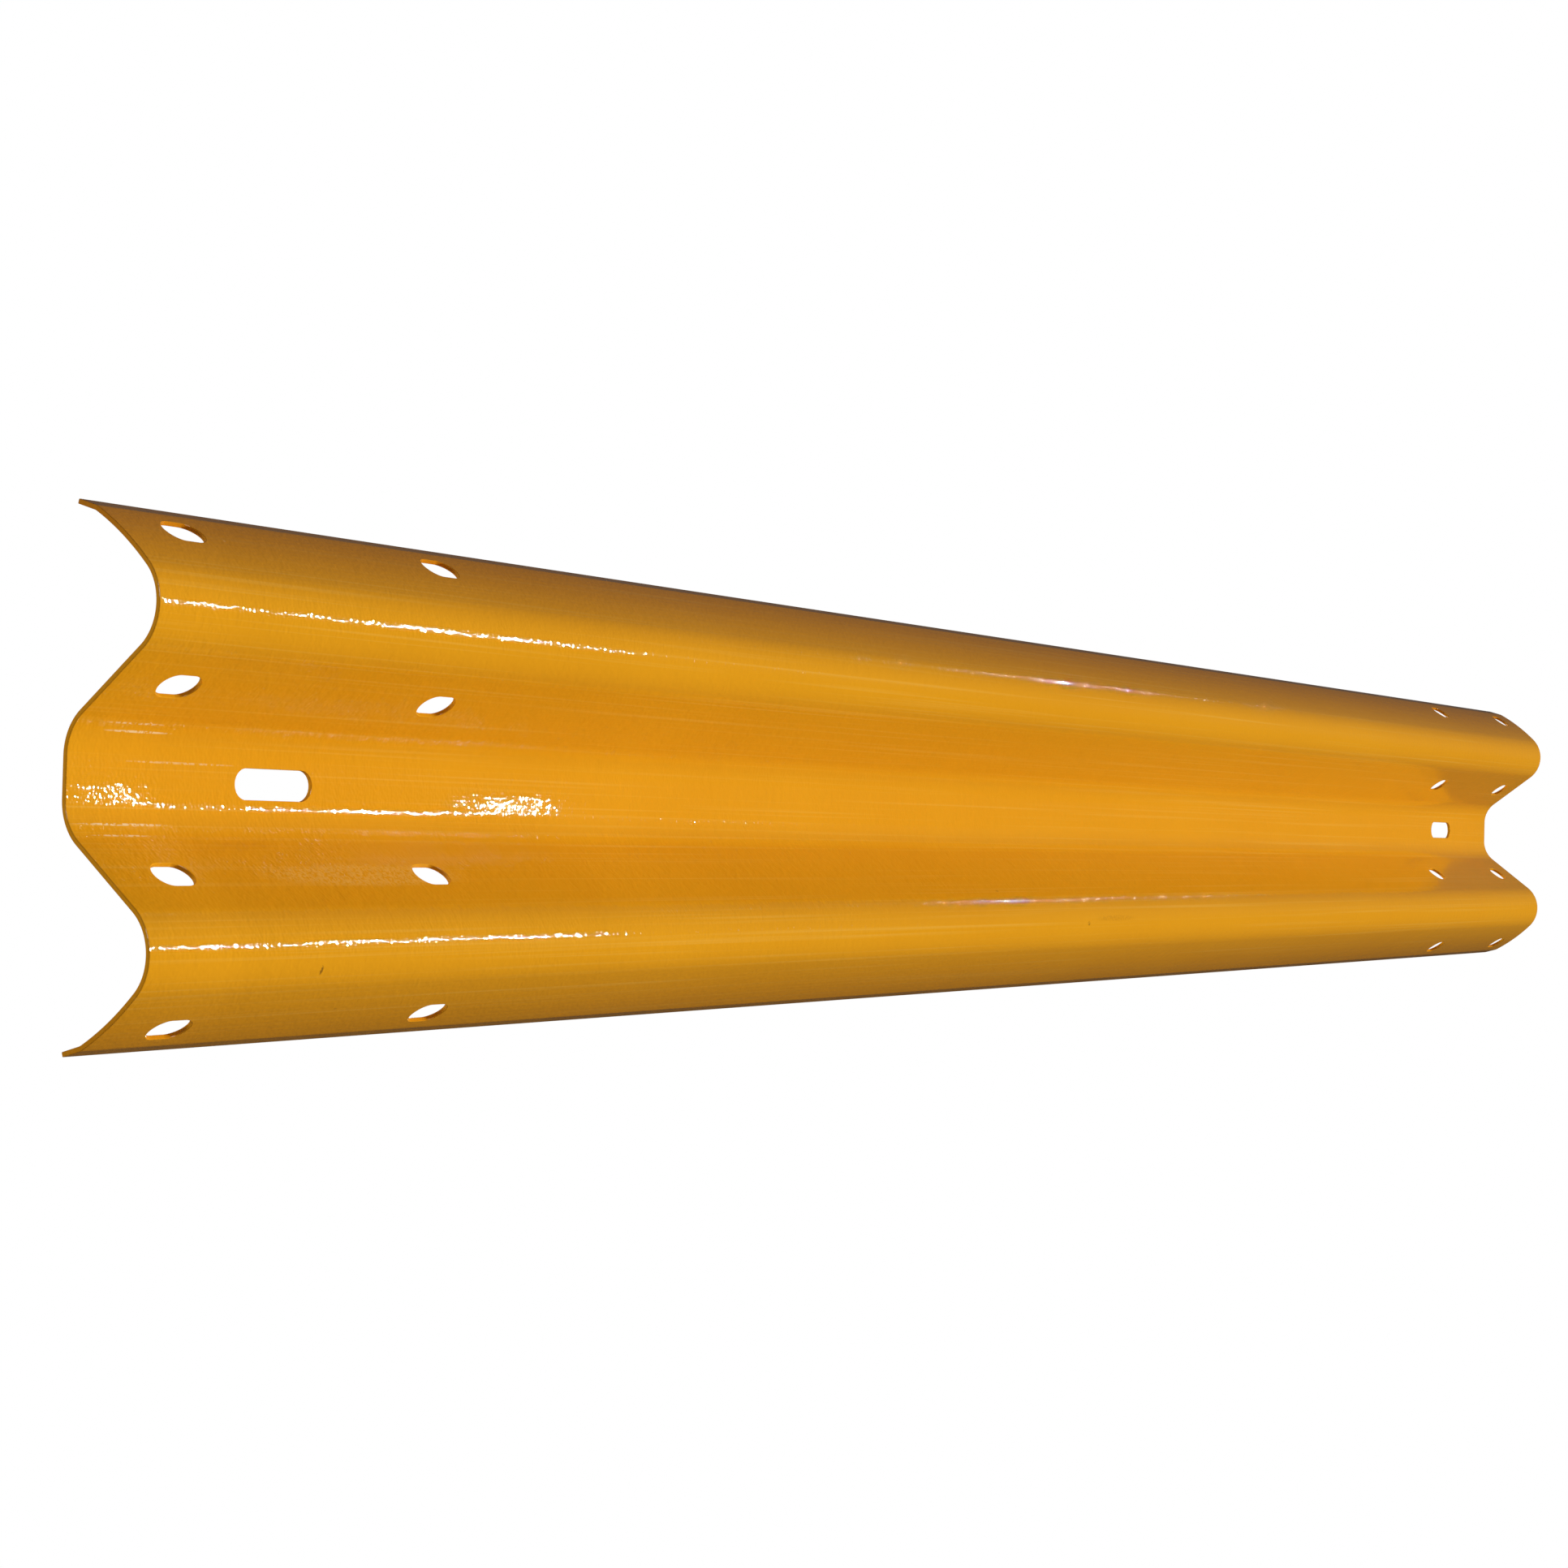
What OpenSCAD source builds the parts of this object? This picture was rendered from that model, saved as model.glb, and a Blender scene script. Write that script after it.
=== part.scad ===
// W-beam guardrail panel: one steel strip rolled into two crests that face the road, with a
// flat valley between them that lies against a post and a short lip along each long edge.
// X runs along the panel, Y from the road to the post, Z up. The origin lies on the back of
// the valley, at the middle of the panel.

/* [Panel] */
// Length of the panel, in mm
panel_length = 2320; // [1320:10:4320]
// Thickness of the coated sheet, in mm
sheet_thickness = 3; // [2:0.25:4]

/* [Section] */
// Height over both lips, in mm
section_height = 310; // [306:1:330]
// Depth from the crests to the back of the valley, in mm
section_depth = 74; // [66:0.5:75]
// Rise of a web toward the road, for each web run
web_rise = 4; // [3.8:0.1:4.2]
// Run of a web along the face of the rail
web_run = 3; // [2.9:0.1:3.1]
// Inner radius of the valley and crest bends, in mm
bend_radius = 29; // [24:0.5:29.5]
// Fall of a lip away from the road, for each lip run
lip_fall = 24; // [20:1:28]
// Run of a lip along the face of the rail
lip_run = 7; // [5:0.5:9]
// Inner radius of the bend between web and lip, in mm
lip_radius = 10; // [6:0.5:12]
// Straight length of a lip, in mm
lip_length = 14; // [10:0.5:15]
// Distance that a lip stays short of the back of the valley, in mm
lip_setback = 6; // [4:0.5:10]

/* [Post slots] */
// Distance from each end of the panel to the post slot, in mm
post_slot_end = 160; // [130:1:190]
// Overall length of a post slot, in mm
post_slot_length = 64; // [50:1:76]
// Width of a post slot, in mm
post_slot_width = 19; // [16:0.5:22]

/* [Splice slots] */
// Distance from each end of the panel to the first column of splice slots, in mm
splice_end = 49; // [40:1:60]
// Distance between the two columns of splice slots, in mm
splice_pitch = 216; // [200:1:230]
// Overall length of a splice slot, in mm
splice_slot_length = 29; // [25:0.5:34]
// Width of a splice slot, in mm
splice_slot_width = 20; // [16:0.5:22]
// Distance of the outer splice slots from the middle of their web, toward the lip, in mm
outer_slot_shift = 7; // [0:0.5:8]

/* [Hidden] */
$fn = 96;
// Every cut reaches past its face by this much
overrun = 1;
half_sheet = sheet_thickness / 2;
punch_depth = sheet_thickness + 2 * overrun;
// Angles of the webs and lips against the face of the rail
web_angle = atan2(web_rise, web_run);
lip_angle = atan2(lip_fall, lip_run);
lip_turn = lip_angle - web_angle;
// Radii of the bends on the middle of the sheet
bend_middle = bend_radius + half_sheet;
lip_middle = lip_radius + half_sheet;
// Depth that one valley or crest bend takes up
bend_depth = bend_middle * (1 - cos(web_angle));
// Depth between the middles of the valley sheet and the crest sheet
crest_depth = section_depth - sheet_thickness;
inner_web = (crest_depth - 2 * bend_depth) / sin(web_angle);
// Depths of the lip bend and the lip, and what is left under the tip of the lip
lip_bend_depth = lip_middle * (cos(web_angle) - cos(lip_angle));
lip_depth = lip_length * sin(lip_angle);
tip_depth = lip_setback - half_sheet * (1 - cos(lip_angle));
outer_web = (crest_depth - bend_depth - lip_bend_depth - lip_depth - tip_depth) / sin(web_angle);
// Heights that add up to half of the section, with the valley flat as what is left
bends_height = 3 * bend_middle * sin(web_angle);
webs_height = (inner_web + outer_web) * cos(web_angle);
lip_height = lip_middle * (sin(lip_angle) - sin(web_angle)) + lip_length * cos(lip_angle);
tip_height = half_sheet * sin(lip_angle);
half_flat = section_height / 2 - bends_height - webs_height - lip_height - tip_height;
// Larger than any bend, for the squares that trim a ring to a bend
reach = 2 * (bend_radius + sheet_thickness);
// Places of the slots along the panel, on one half of it
post_place = panel_length / 2 - post_slot_end;
splice_places = [panel_length / 2 - splice_end, panel_length / 2 - splice_end - splice_pitch];

// The section is drawn with x along the sheet, y toward the road and z along the panel.
// Strip of sheet from the origin along x
module strip(length) {
    translate([0, -half_sheet])
        square([length, sheet_thickness]);
}

// Centre of a bend that starts at the origin, on the left for a positive turn
module at_bend_centre(turn, radius) {
    translate([0, sign(turn) * (radius + half_sheet)])
        children();
}

// End of a bend that starts at the origin
module past_bend(turn, radius) {
    at_bend_centre(turn, radius)
        rotate(turn)
            at_bend_centre(-turn, radius)
                children();
}

// Full ring of sheet round the centre of a bend that starts at the origin
module ring(turn, radius) {
    at_bend_centre(turn, radius)
        difference() {
            circle(r = radius + sheet_thickness);
            circle(r = radius);
        }
}

// Sheet bent through an angle: the ring, trimmed where the bend starts and where it ends
module bend(turn, radius) {
    difference() {
        ring(turn, radius);
        at_bend_centre(turn, radius) {
            translate([-reach, -reach])
                square([reach, 2 * reach]);
            rotate(turn)
                translate([0, -reach])
                    square([reach, 2 * reach]);
        }
    }
}

// Short length of the ring on both sides of the origin, where a strip runs into a bend
module lap(turn, radius) {
    intersection() {
        ring(turn, radius);
        translate([-overrun, 0])
            strip(2 * overrun);
    }
}

// A bend, the strip that follows it, and whatever follows the strip
module rolled(turn, radius, length) {
    lap(turn, radius);
    bend(turn, radius);
    past_bend(turn, radius) {
        lap(turn, radius);
        strip(length);
        translate([length, 0])
            children();
    }
}

// Half of the section, from the middle of the valley to the tip of one lip
module half_section() {
    strip(half_flat);
    translate([half_flat, 0])
        rolled(web_angle, bend_radius, inner_web)
            rolled(-2 * web_angle, bend_radius, outer_web)
                rolled(-lip_turn, lip_radius, lip_length);
}

// Both halves of whatever is drawn on one half of the section
module both_halves() {
    for (side = [0, 1])
        mirror([side, 0])
            children();
}

// Both ends of whatever is drawn at one end of the panel
module both_ends() {
    for (end = [0, 1])
        mirror([0, 0, end])
            children();
}

// Start of the inner web, next to the valley
module at_inner_web() {
    translate([half_flat, 0])
        past_bend(web_angle, bend_radius)
            children();
}

// Start of the outer web, next to the crest
module at_outer_web() {
    at_inner_web()
        translate([inner_web, 0])
            past_bend(-2 * web_angle, bend_radius)
                children();
}

// Punch for a slot with round ends, long along the panel, through the sheet at the origin
module slot_punch(length, width) {
    straight = length - width;
    cube([width, punch_depth, straight], center = true);
    for (end = [-1, 1])
        translate([0, 0, end * straight / 2])
            rotate([90, 0, 0])
                cylinder(d = width, h = punch_depth, center = true);
}

// Punches of the two columns of splice slots, at one end of the panel
module splice_punches() {
    for (place = splice_places)
        translate([0, 0, place])
            both_halves() {
                at_inner_web()
                    translate([inner_web / 2, 0])
                        slot_punch(splice_slot_length, splice_slot_width);
                at_outer_web()
                    translate([outer_web / 2 + outer_slot_shift, 0])
                        slot_punch(splice_slot_length, splice_slot_width);
            }
}

// Punch of the post slot in the valley, at one end of the panel
module post_punch() {
    translate([0, 0, post_place])
        slot_punch(post_slot_length, post_slot_width);
}

// The rail: the rolled sheet, punched at both ends, with the back of its valley on the origin
module w_beam_rail() {
    color("orange")
        rotate([0, -90, 180])
            translate([0, half_sheet])
                difference() {
                    linear_extrude(height = panel_length, center = true)
                        both_halves()
                            half_section();
                    both_ends() {
                        splice_punches();
                        post_punch();
                    }
                }
}

w_beam_rail();
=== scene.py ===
import math

import bmesh
import bpy
from mathutils import Matrix, Vector


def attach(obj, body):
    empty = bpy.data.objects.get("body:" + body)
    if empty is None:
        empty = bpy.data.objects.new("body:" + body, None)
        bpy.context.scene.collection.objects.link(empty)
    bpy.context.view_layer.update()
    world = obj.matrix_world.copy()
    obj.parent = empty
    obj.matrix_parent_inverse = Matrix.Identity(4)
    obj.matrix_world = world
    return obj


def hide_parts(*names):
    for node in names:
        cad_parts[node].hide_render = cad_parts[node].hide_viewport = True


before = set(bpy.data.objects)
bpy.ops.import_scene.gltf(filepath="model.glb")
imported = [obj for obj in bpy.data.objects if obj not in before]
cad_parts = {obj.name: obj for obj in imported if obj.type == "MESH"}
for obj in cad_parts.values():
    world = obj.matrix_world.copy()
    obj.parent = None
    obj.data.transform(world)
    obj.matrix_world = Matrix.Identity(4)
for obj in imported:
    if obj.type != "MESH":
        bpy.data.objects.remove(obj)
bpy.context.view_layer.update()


# Rail sheet. One strip of hot-rolled steel, 3 mm thick, that a train of rolls bends lengthwise
# into a valley, two crests and four sloping webs, with a short lip along each long edge.
# It is drawn as the rolls form it: the cut edge of the strip is run straight and bent in turn.
def made(name, shape):
    """Object in the scene, with the mesh that a bmesh holds."""
    mesh = bpy.data.meshes.new(name)
    shape.to_mesh(mesh)
    shape.free()
    piece = bpy.data.objects.new(name, mesh)
    bpy.context.scene.collection.objects.link(piece)
    return piece


MM = 0.001
panel_length = 2320 * MM
sheet_thickness = 3 * MM
half_sheet = sheet_thickness / 2
bend_radius = 29 * MM
lip_radius = 10 * MM
lip_length = 14 * MM
# Slopes of the webs and the lips, each from its rise and its run
web_angle = math.atan2(4, 3)
lip_angle = math.atan2(24, 7)
# Half of the valley's flat and the straight of an inner web, which bring the section to its
# height of 310 mm and its depth of 74 mm
half_flat = 12.08 * MM
inner_web = 58.25 * MM
# The outer webs spring back to a shallow bow, which eases the crest bend by half of it
bow = math.radians(15)
bow_radius = 195.77 * MM
crest_ease = math.radians(7.7025)
# Narrow strip beside each bend, so that the flats stay flat under smooth shading
seam = 2 * MM
bend_step = math.radians(1.5)
mirror_weld = 0.01 * MM

sheet = bmesh.new()
cut_edge = sheet.edges.new(
    [sheet.verts.new((-panel_length / 2, y, 0)) for y in (0, -sheet_thickness)]
)
spot = Vector((-panel_length / 2, -half_sheet, 0))
heading = 0
runs = []
# Turn, inner radius and straight length of each run, from the middle of the valley to the lip
for turn, radius, length in [
    (0, 0, half_flat),
    (web_angle, bend_radius, inner_web),
    (crest_ease - 2 * web_angle, bend_radius, 0),
    (-bow, bow_radius, 0),
    (web_angle + bow - crest_ease - lip_angle, lip_radius, lip_length),
]:
    if turn:
        toward_centre = Vector((0, -math.cos(heading), -math.sin(heading)))
        centre = spot + toward_centre * math.copysign(radius + half_sheet, turn)
        bent = bmesh.ops.spin(
            sheet,
            geom=[cut_edge],
            cent=centre,
            axis=(1, 0, 0),
            angle=turn,
            steps=math.ceil(abs(turn) / bend_step),
        )
        cut_edge = next(g for g in bent["geom_last"] if isinstance(g, bmesh.types.BMEdge))
        heading += turn
        spot = (cut_edge.verts[0].co + cut_edge.verts[1].co) / 2
    along = Vector((0, -math.sin(heading), math.cos(heading)))
    runs.append((spot.copy(), along))
    for stretch in (seam, length - 2 * seam, seam) if length else ():
        drawn = bmesh.ops.extrude_edge_only(sheet, edges=[cut_edge])["geom"]
        cut_edge = next(
            g
            for g in drawn
            if isinstance(g, bmesh.types.BMEdge) and all(v in drawn for v in g.verts)
        )
        bmesh.ops.translate(sheet, verts=cut_edge.verts[:], vec=along * stretch)
    spot = spot + along * length
bmesh.ops.mirror(
    sheet,
    geom=sheet.verts[:] + sheet.edges[:] + sheet.faces[:],
    merge_dist=mirror_weld,
    axis="Z",
)
# The finished section is drawn out to the length of the panel
run = bmesh.ops.extrude_face_region(sheet, geom=sheet.faces[:])["geom"]
bmesh.ops.translate(
    sheet,
    verts=[g for g in run if isinstance(g, bmesh.types.BMVert)],
    vec=(panel_length, 0, 0),
)
bmesh.ops.recalc_face_normals(sheet, faces=sheet.faces[:])
rail = made("rail_sheet", sheet)

# Slots. A press punches the flat strip through: two long slots in the valley for the post
# bolts, and two columns of four short slots at each end, where panels overlap and are bolted.
# Each punch stands square to the sheet that it goes through.
post_slot = (64 * MM, 19 * MM)
splice_slot = (29 * MM, 20 * MM)
post_slot_end = 160 * MM
splice_ends = (49 * MM, 265 * MM)
# Middle of the upper outer slots, on the middle of the sheet
outer_seat = Vector((0, -36.32 * MM, 138.215 * MM))
punch_sides = 64
punch_depth = 12 * MM

# Size, distance from the end, middle and slope of each slot
seats = [(post_slot, post_slot_end, Vector((0, -half_sheet, 0)), 0)]
web_start, up_web = runs[1]
inner_seat = web_start + up_web * inner_web / 2
for seat, slope in [(inner_seat, web_angle), (outer_seat, -web_angle)]:
    for splice_end in splice_ends:
        seats.append((splice_slot, splice_end, seat, slope))
        lower = Vector((seat.x, seat.y, -seat.z))
        seats.append((splice_slot, splice_end, lower, -slope))

punches = bmesh.new()
for (slot_length, slot_width), from_end, seat, slope in seats:
    for end in (-1, 1):
        # A round punch, turned by half a side so that it parts cleanly into two halves, which
        # are then drawn apart to the length of the slot
        punch = bmesh.ops.create_cone(
            punches,
            cap_ends=True,
            segments=punch_sides,
            radius1=slot_width / 2,
            radius2=slot_width / 2,
            depth=punch_depth,
            matrix=Matrix.Rotation(math.pi / punch_sides, 4, "Z"),
        )["verts"]
        straight = slot_length - slot_width
        for side in (-1, 1):
            half = [v for v in punch if v.co.x * side > 0]
            bmesh.ops.translate(punches, verts=half, vec=(side * straight / 2, 0, 0))
        place = Vector((end * (panel_length / 2 - from_end), seat.y, seat.z))
        stand = Matrix.Rotation(slope + math.pi / 2, 4, "X")
        bmesh.ops.transform(punches, matrix=Matrix.Translation(place) @ stand, verts=punch)
punch_block = made("punches", punches)

punched = rail.modifiers.new("punched", "BOOLEAN")
punched.object = punch_block
punched.operation = "DIFFERENCE"
punched.solver = "EXACT"
bpy.context.view_layer.update()
pressed = bmesh.new()
pressed.from_object(rail, bpy.context.evaluated_depsgraph_get())
rail.modifiers.clear()
bpy.data.objects.remove(punch_block)

# Cut edges. Shear and press leave the ends, the long edges and the slot rims square, and the
# powder rounds them by about half a millimetre as it melts and draws back.
# They are the only edges that turn sharply, so the bends of the sheet are left alone.
rim_radius = 0.5 * MM
rim_steps = 3
rim_angle = math.radians(45)
rim_weld = 0.001 * MM
shade_angle = math.radians(9)
bmesh.ops.remove_doubles(pressed, verts=pressed.verts[:], dist=rim_weld)
bmesh.ops.bevel(
    pressed,
    geom=[e for e in pressed.edges if e.calc_face_angle(0) > rim_angle],
    offset=rim_radius,
    affect="EDGES",
    segments=rim_steps,
    profile=0.5,
    material=-1,
)
for face in pressed.faces:
    face.smooth = True
for edge in pressed.edges:
    edge.smooth = edge.calc_face_angle(0) < shade_angle
pressed.to_mesh(rail.data)
pressed.free()
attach(rail, "root")
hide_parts("w_beam_rail")


# Coat. Polyester powder, sprayed on dry and melted in an oven to a glossy film of 0.1 mm that
# flows into a fine orange peel and lets the drawn lines of the rolls show through.
# It gives the eye a deep warm orange, with sharp highlights that break up along their rims.
def linear(hex_colour):
    """Linear colour of an sRGB hex value."""
    channels = [int(hex_colour[i : i + 2], 16) / 255 for i in (1, 3, 5)]
    return [c / 12.92 if c <= 0.04045 else ((c + 0.055) / 1.055) ** 2.4 for c in channels] + [1]


def add(tree, kind, settings=(), **links):
    """One node with its settings and what its inputs hold: a socket to link, or a plain value.

    An input goes by its name, with _ for a space, or by its number, as in _0.
    """
    node = tree.nodes.new(kind)
    for name, value in dict(settings).items():
        setattr(node, name, value)
    for name, source in links.items():
        socket = node.inputs[int(name[1:]) if name[1:].isdigit() else name.replace("_", " ")]
        if isinstance(source, bpy.types.NodeSocket):
            tree.links.new(source, socket)
        else:
            socket.default_value = source
    return node


# Settings that several nodes share
soft_ramp = {"interpolation_type": "SMOOTHSTEP"}
product = {"operation": "MULTIPLY"}
product_sum = {"operation": "MULTIPLY_ADD"}
colour_mix = {"data_type": "RGBA"}


def oval(tree, place, middle, half, fade):
    """Mask that is 1 in an oval patch and fades at its rim."""
    away = add(tree, "ShaderNodeVectorMath", {"operation": "SUBTRACT"}, _0=place, _1=middle)
    scaled = add(
        tree, "ShaderNodeVectorMath", {"operation": "DIVIDE"}, _0=away.outputs[0], _1=half
    )
    ring = add(tree, "ShaderNodeVectorMath", {"operation": "LENGTH"}, _0=scaled.outputs[0])
    return add(
        tree,
        "ShaderNodeMapRange",
        soft_ramp,
        Value=ring.outputs["Value"],
        From_Min=1 + fade,
        From_Max=1 - fade,
    ).outputs[0]


coat = bpy.data.materials.new("polyester_powder_coat_oven_cured")
coat.use_nodes = True
tree = coat.node_tree
shader = tree.nodes["Principled BSDF"]
place = add(tree, "ShaderNodeTexCoord").outputs["Object"]
axes = add(tree, "ShaderNodeSeparateXYZ", Vector=place).outputs

# Relief of the skin, as a height: slow buckles of the sheet, drawn lines along the rail and two
# sizes of orange peel, which is drawn coarser than a real one so that it breaks up the shine.
# Each line gives a pattern's stretch, grain, detail and depth.
skin_roughness = 0.6
relief = 0.0
for stretch, grain, detail, depth in [
    ((1, 1, 1), 90 * MM, 2.0, 0.6 * MM),
    ((0.012, 1, 1), 3 * MM, 3.0, 0.07 * MM),
    ((1, 0.6, 0.6), 6 * MM, 0.0, 0.17 * MM),
    ((1, 0.7, 0.7), 2 * MM, 0.0, 0.14 * MM),
]:
    spread = add(tree, "ShaderNodeMapping", Vector=place, Scale=stretch)
    ripple = add(
        tree,
        "ShaderNodeTexNoise",
        Vector=spread.outputs[0],
        Scale=1 / grain,
        Detail=detail,
        Roughness=skin_roughness,
    )
    relief = add(
        tree,
        "ShaderNodeMath",
        product_sum,
        _0=ripple.outputs["Fac"],
        _1=depth,
        _2=relief,
    ).outputs[0]
# Soft steps that the rolls pressed into the lower half of the valley, each over a short length:
# middle and reach along the rail, then the heights where a step starts and ends, and its depth.
# Across the rail the patch is a metre wide, so that a step fades along the rail alone.
step_fade = 0.8
across = 1
for middle, reach, top, bottom, depth in [
    (-772 * MM, 62 * MM, 3 * MM, -19 * MM, 1.12 * MM),
    (-1130 * MM, 30 * MM, 0, -19 * MM, 0.85 * MM),
]:
    press = add(
        tree,
        "ShaderNodeMapRange",
        soft_ramp,
        Value=axes["Z"],
        From_Min=top,
        From_Max=bottom,
        To_Max=depth,
    )
    relief = add(
        tree,
        "ShaderNodeMath",
        product_sum,
        _0=press.outputs[0],
        _1=oval(tree, place, (middle, 0, 0), (reach, across, across), step_fade),
        _2=relief,
    ).outputs[0]
# Flare toward the road that the shear leaves at the near end, and a slow sag further along
for start, stop, lift in [
    (-1085 * MM, -1195 * MM, 2.6 * MM),
    (-760 * MM, -560 * MM, -3 * MM),
]:
    wave = add(
        tree,
        "ShaderNodeMapRange",
        soft_ramp,
        Value=axes["X"],
        From_Min=start,
        From_Max=stop,
        To_Max=lift,
    )
    relief = add(tree, "ShaderNodeMath", _0=relief, _1=wave.outputs[0]).outputs[0]
skin = add(tree, "ShaderNodeBump", Strength=1.0, Distance=1.0, Height=relief)

# Colour of the coat: a cloudy mottle, with paler lines where the rolls burnished the sheet
mottle_size = 180 * MM
line_width = 2.5 * MM
line_stretch = (0.005, 1, 1)
burnish_start, burnish_full = 0.55, 0.75
burnish_share = 0.3
mottle = add(tree, "ShaderNodeTexNoise", Vector=place, Scale=1 / mottle_size, Detail=3.0)
line_place = add(tree, "ShaderNodeMapping", Vector=place, Scale=line_stretch)
lines = add(
    tree, "ShaderNodeTexNoise", Vector=line_place.outputs[0], Scale=1 / line_width, Detail=2.0
)
burnish = add(
    tree,
    "ShaderNodeMapRange",
    Value=lines.outputs["Fac"],
    From_Min=burnish_start,
    From_Max=burnish_full,
    To_Max=burnish_share,
)
layers = [
    (mottle.outputs["Fac"], "#E19C19"),
    (burnish.outputs[0], "#EBB64E"),
]
# Painted shade: the coat turns a darker, redder orange toward the long edges, more on the upper
# one
for near, far, share in [(95 * MM, 158 * MM, 0.5), (-95 * MM, -158 * MM, 0.25)]:
    edge_shade = add(
        tree,
        "ShaderNodeMapRange",
        soft_ramp,
        Value=axes["Z"],
        From_Min=near,
        From_Max=far,
        To_Max=share,
    )
    layers.append((edge_shade.outputs[0], "#AB5809"))
# Painted shade, a darker brown, on the sheared end faces: it starts and is full this far
# from the end
end_shade_start = 1 * MM
end_shade_full = 0.3 * MM
end_shade_share = 0.4
from_middle = add(tree, "ShaderNodeMath", {"operation": "ABSOLUTE"}, _0=axes["X"])
end_shade = add(
    tree,
    "ShaderNodeMapRange",
    Value=from_middle.outputs[0],
    From_Min=panel_length / 2 - end_shade_start,
    From_Max=panel_length / 2 - end_shade_full,
    To_Max=end_shade_share,
)
layers.append((end_shade.outputs[0], "#7A4408"))
# Marks, crumbled by a fine noise: dark nicks, pale painted glints near the end, and one
# painted reflection.
# Each line gives a mark's middle and half size in mm, and its strength.
crumb_size = 2 * MM
crumb_start, crumb_full = 0.4, 0.55
mark_fade = 0.3
crumb = add(tree, "ShaderNodeTexNoise", Vector=place, Scale=1 / crumb_size)
broken = add(
    tree,
    "ShaderNodeMapRange",
    Value=crumb.outputs["Fac"],
    From_Min=crumb_start,
    From_Max=crumb_full,
)
nicks = [
    ((-1026, -71.4, -107.3), (1.6, 2, 3), 0.7),
    ((-989, -47, -131.6), (3, 2, 1.6), 0.7),
    ((-1005, -56, -124.1), (2.4, 2, 1.4), 0.6),
    ((-204, -55.3, -68.2), (3, 2, 2), 0.9),
    ((-68.6, -74, -95.6), (2, 2, 1.8), 0.6),
    ((-16, -73.5, -91.5), (34, 2, 2.4), 0.15),
]
# Painted highlights: pale glints as thin broken lines and dots, near the near end
painted_glints = [
    ((-1117, -9.3, 32), (28, 2, 0.7), 0.7),
    ((-1113, -6.5, 27.4), (24, 2, 0.7), 0.6),
    ((-1121, -5.7, -25.6), (32, 2, 0.7), 0.6),
    ((-1125, -9.3, -32), (26, 2, 0.7), 0.7),
    ((-1076, -3, 10.6), (40, 2, 0.6), 0.3),
    ((-1131, -12.8, -36.1), (20, 2, 0.7), 0.6),
    ((-1133, -43.3, -59.2), (4, 2, 1), 0.8),
    ((-1083.6, -40.5, 136.3), (2, 2, 2), 0.3),
]
# Painted reflection: a pale smear on the lower inner web, where it mirrors the valley's shine
painted_reflection = [((-955, -36.8, -54.2), (80, 12, 8), 0.55)]
for marks, hue in [(nicks, "#5A3A14"), (painted_glints, "#F6E3B8"), (painted_reflection, "#E8B458")]:
    for middle, half, share in marks:
        patch = oval(tree, place, [c * MM for c in middle], [c * MM for c in half], mark_fade)
        wear_and_painted_light = add(tree, "ShaderNodeMath", product, _0=patch, _1=broken.outputs[0])
        mark = add(tree, "ShaderNodeMath", product, _0=wear_and_painted_light.outputs[0], _1=share)
        layers.append((mark.outputs[0], hue))
colour = linear("#DB9414")
for share, hue in layers:
    colour = add(
        tree, "ShaderNodeMix", colour_mix, Factor=share, _6=colour, _7=linear(hue)
    ).outputs[2]
tree.links.new(colour, shader.inputs["Base Color"])
tree.links.new(skin.outputs[0], shader.inputs["Normal"])
# Cured polyester has an IOR of about 1.5, and this film is nearly as smooth as glass
shader.inputs["Roughness"].default_value = 0.045
shader.inputs["IOR"].default_value = 1.5
rail.data.materials.append(coat)


# Floor. Pale studio paper, laid flat well below the rail, that takes its soft shade.
# Light falls on it as on matt paper. To the eye, and in the gloss, it is a plain white ground.
def seen_as_ground(tree):
    """Share that is 1 for the camera, for the gloss and for what shows through."""
    seen = add(tree, "ShaderNodeLightPath").outputs
    either = add(
        tree,
        "ShaderNodeMath",
        {"operation": "MAXIMUM"},
        _0=seen["Is Camera Ray"],
        _1=seen["Is Glossy Ray"],
    )
    return add(
        tree,
        "ShaderNodeMath",
        {"operation": "MAXIMUM"},
        _0=either.outputs[0],
        _1=seen["Is Transmission Ray"],
    ).outputs[0]


floor_depth = 1200 * MM
floor_half = 5
shade_reach = 1.5
ground = bmesh.new()
bmesh.ops.create_grid(ground, x_segments=1, y_segments=1, size=floor_half)
bmesh.ops.translate(ground, verts=ground.verts[:], vec=(0, 0, -floor_depth))
floor = made("floor", ground)
paper = bpy.data.materials.new("white_studio_paper")
paper.use_nodes = True
tree = paper.node_tree
open_sky = add(tree, "ShaderNodeAmbientOcclusion", {"samples": 8}, Distance=shade_reach)
glow = add(tree, "ShaderNodeEmission", Color=open_sky.outputs["Color"], Strength=1.0)
matt = add(tree, "ShaderNodeBsdfDiffuse", Color=linear("#F2F2F2"))
both = add(
    tree,
    "ShaderNodeMixShader",
    _0=seen_as_ground(tree),
    _1=matt.outputs[0],
    _2=glow.outputs[0],
)
tree.links.new(both.outputs[0], tree.nodes["Material Output"].inputs["Surface"])
floor.data.materials.append(paper)

# Dark cards. A closed tunnel of dark grey card round the rail, which only its gloss mirrors, so
# that the coat keeps its depth of colour in front of a white ground. A soft box behind the rail
# and one before its near end, let into the card, give the gloss a streak from other sides.
card_radius = 1.1
card_length = 6
card_sides = 32
# Heights between which the card turns from its darker to its lighter grey
card_dark, card_light = -0.2, 0.3
box_glow = 6
box_fade = 0.3
cards = bmesh.new()
bmesh.ops.create_cone(
    cards,
    cap_ends=True,
    segments=card_sides,
    radius1=card_radius,
    radius2=card_radius,
    depth=card_length,
    matrix=Matrix.Rotation(math.pi / 2, 4, "Y"),
)
card = made("dark_card", cards)
card.visible_camera = False
card.visible_diffuse = False
card.visible_shadow = False
card.visible_transmission = False
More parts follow.
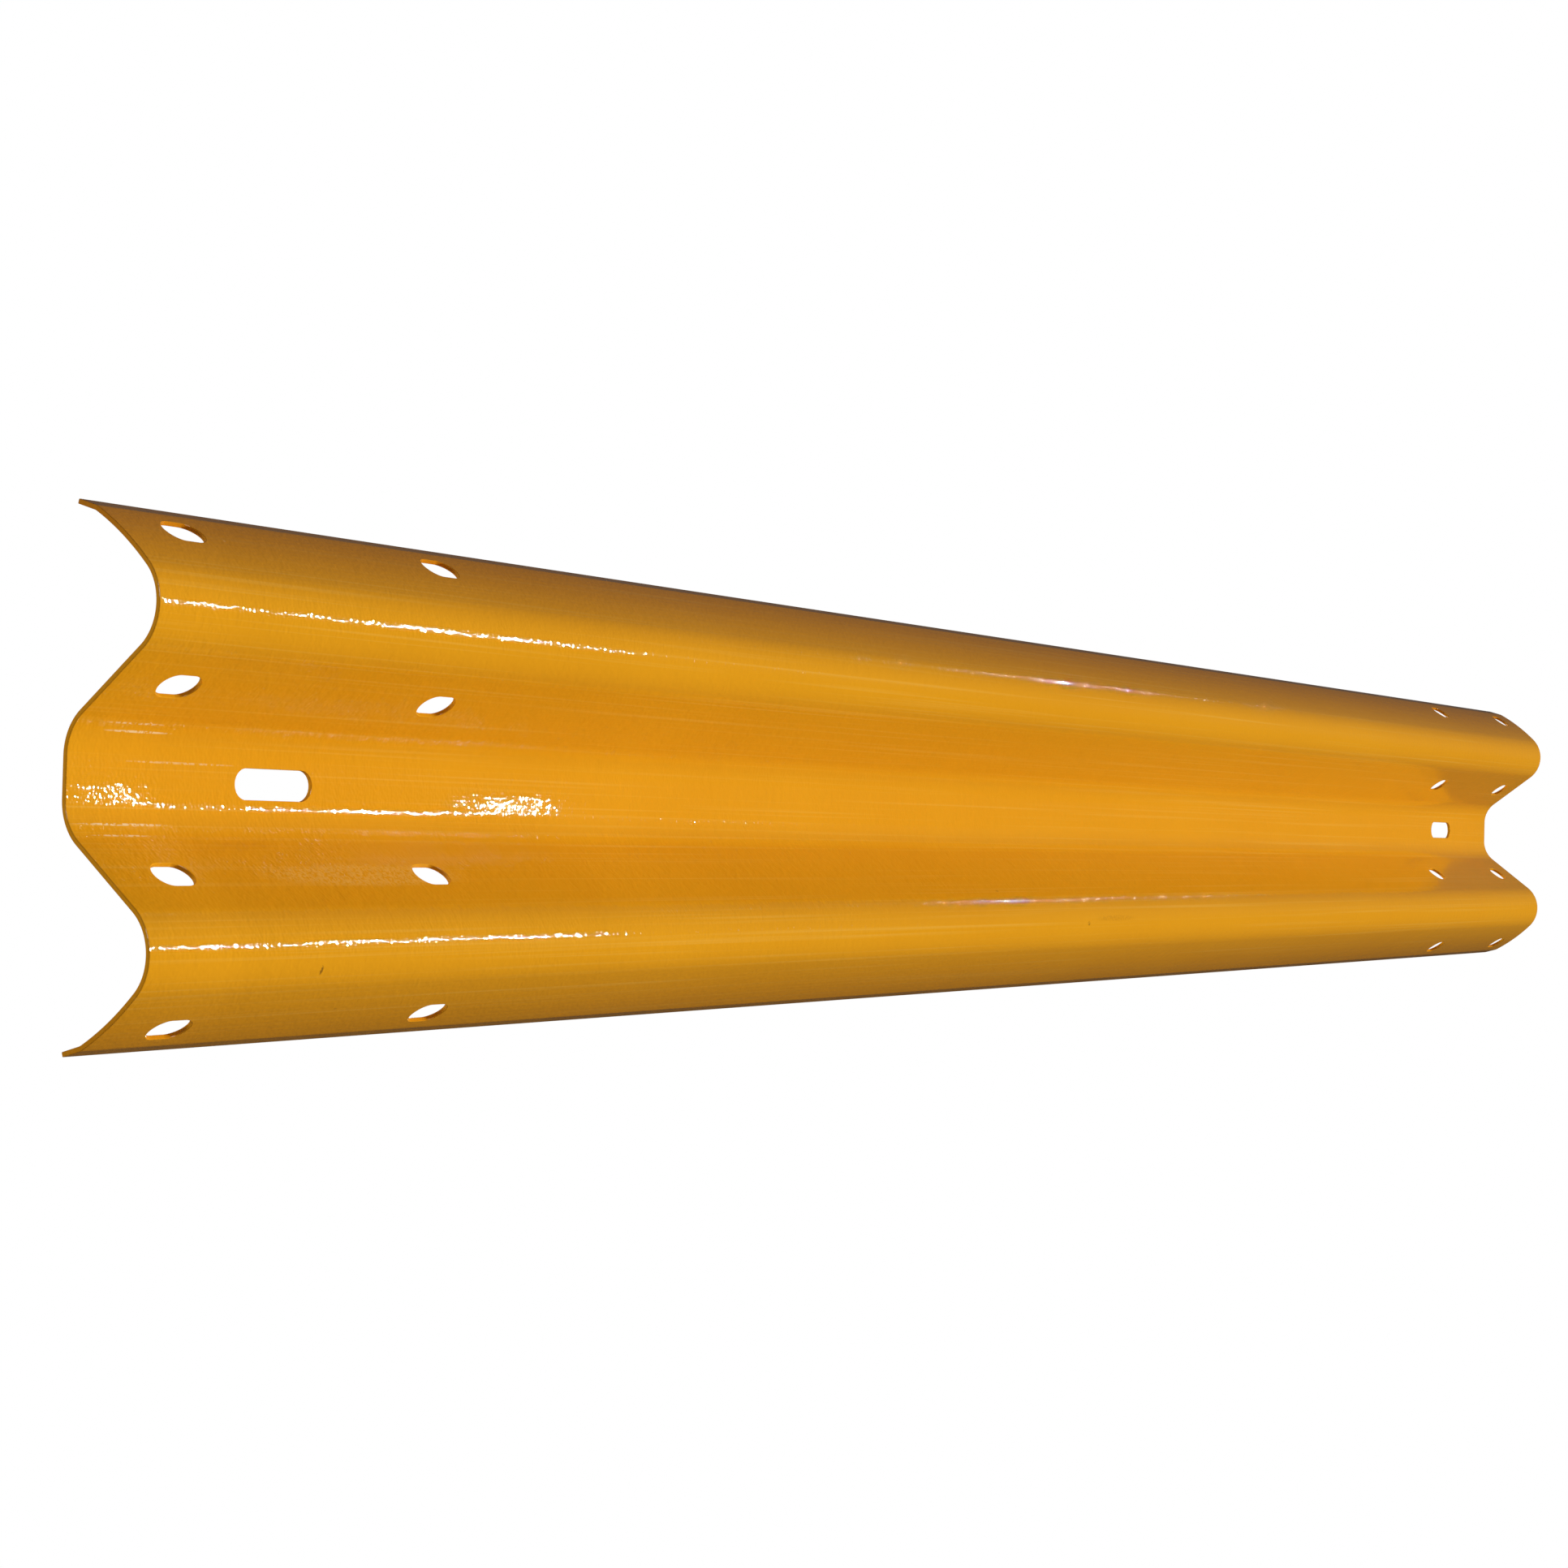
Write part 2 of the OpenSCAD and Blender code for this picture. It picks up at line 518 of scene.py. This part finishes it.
# Card that glows faintly, an even grey in the gloss alone, a little lighter above the rail
grey = bpy.data.materials.new("dark_grey_card")
grey.use_nodes = True
tree = grey.node_tree
card_place = add(tree, "ShaderNodeTexCoord").outputs["Object"]
card_axes = add(tree, "ShaderNodeSeparateXYZ", Vector=card_place).outputs
shade = add(
    tree,
    "ShaderNodeMapRange",
    soft_ramp,
    Value=card_axes["Z"],
    From_Min=card_dark,
    From_Max=card_light,
)
tone = add(
    tree,
    "ShaderNodeMix",
    colour_mix,
    Factor=shade.outputs[0],
    _6=linear("#303030"),
    _7=linear("#484848"),
).outputs[2]
for middle, half in [
    ((1.1, 1.05, 0.17), (1, 0.6, 0.14)),
    ((-1.7, -0.95, 0.55), (0.8, 0.7, 0.2)),
]:
    tone = add(
        tree,
        "ShaderNodeMix",
        colour_mix,
        Factor=oval(tree, card_place, middle, half, box_fade),
        _6=tone,
        _7=(box_glow, box_glow, box_glow, 1),
    ).outputs[2]
glow = add(tree, "ShaderNodeEmission", Color=tone, Strength=1.0)
tree.links.new(glow.outputs[0], tree.nodes["Material Output"].inputs["Surface"])
grey.cycles.emission_sampling = "NONE"
card.data.materials.append(grey)


# Light. A fill from the near end, a lamp behind the rail, and a key lamp at the far end of the
# road side, a little below the rail. Two small lamps show in the gloss alone, and draw the
# bright lines along the crests and the valley.
def hung(name, kind, energy):
    """Lamp in the scene, with a highlight that the dark cards don't swallow."""
    bulb = bpy.data.lights.new(name, kind)
    bulb.energy = energy
    bulb.cycles.use_multiple_importance_sampling = False
    lamp = bpy.data.objects.new(name, bulb)
    bpy.context.scene.collection.objects.link(lamp)
    return lamp


# Direction toward each lamp, its strength, its width in degrees, and whether it is for the gloss
for name, toward, strength, width, gloss in [
    ("fill", (-1, 0, 0), 1.3, 6, False),
    ("back", (-0.2, 0.98, 0), 2.0, 6, False),
    ("glint", (0.742, -0.66, 0.12), 0.7, 0.3, True),
    ("far_glint", (0.88, -0.085, 0.46), 0.05, 0.3, True),
]:
    lamp = hung(name, "SUN", strength)
    lamp.data.angle = math.radians(width)
    lamp.rotation_mode = "QUATERNION"
    lamp.rotation_quaternion = Vector(toward).to_track_quat("Z", "Y")
    lamp.visible_glossy = gloss
    lamp.visible_diffuse = not gloss

# The key lamp sheds its power over a sphere, which leaves this strength at the rail
key_strength = 4.5
key_reach = 30
key_radius = 1.5
key_toward = Vector((0.767, -0.641, -0.03))
key = hung("key", "POINT", key_strength * 4 * math.pi * key_reach**2)
key.data.shadow_soft_size = key_radius
key.location = key_toward.normalized() * key_reach
key.visible_glossy = False

# Surroundings. A faint even light from all round, which keeps the shaded webs from going black.
# The eye, the gloss and the slots show a plain white ground in its place.
sky_strength = 0.19
world = bpy.data.worlds.new("studio")
bpy.context.scene.world = world
world.use_nodes = True
tree = world.node_tree
soft = add(tree, "ShaderNodeBackground", Color=linear("#FFFFFF"), Strength=sky_strength)
white = add(tree, "ShaderNodeBackground", Color=linear("#FFFFFF"), Strength=1.0)
both = add(
    tree,
    "ShaderNodeMixShader",
    _0=seen_as_ground(tree),
    _1=soft.outputs[0],
    _2=white.outputs[0],
)
tree.links.new(both.outputs[0], tree.nodes["World Output"].inputs["Surface"])
bpy.context.scene.view_settings.view_transform = "Standard"

# Camera. It stands on the road side, level with the rail and some 1.5 m from its near end, and
# looks along the rail to the far end, with a slight roll.
eye = bpy.data.cameras.new("camera")
eye.sensor_width = 36
eye.lens = 60.118
# Directions to the right of the picture and into it
right = Vector((0.5607, -0.8276, 0.0255)).normalized()
ahead = Vector((0.8275, 0.5612, 0.0167))
ahead = (ahead - right * ahead.dot(right)).normalized()
up = right.cross(ahead)
turned = Matrix((right, up, -ahead)).transposed().to_4x4()
stands = Matrix.Translation((-2138.8 * MM, -1148.2 * MM, -17.83 * MM))
camera = bpy.data.objects.new("camera", eye)
camera.matrix_world = stands @ turned
bpy.context.scene.collection.objects.link(camera)
bpy.context.scene.camera = camera
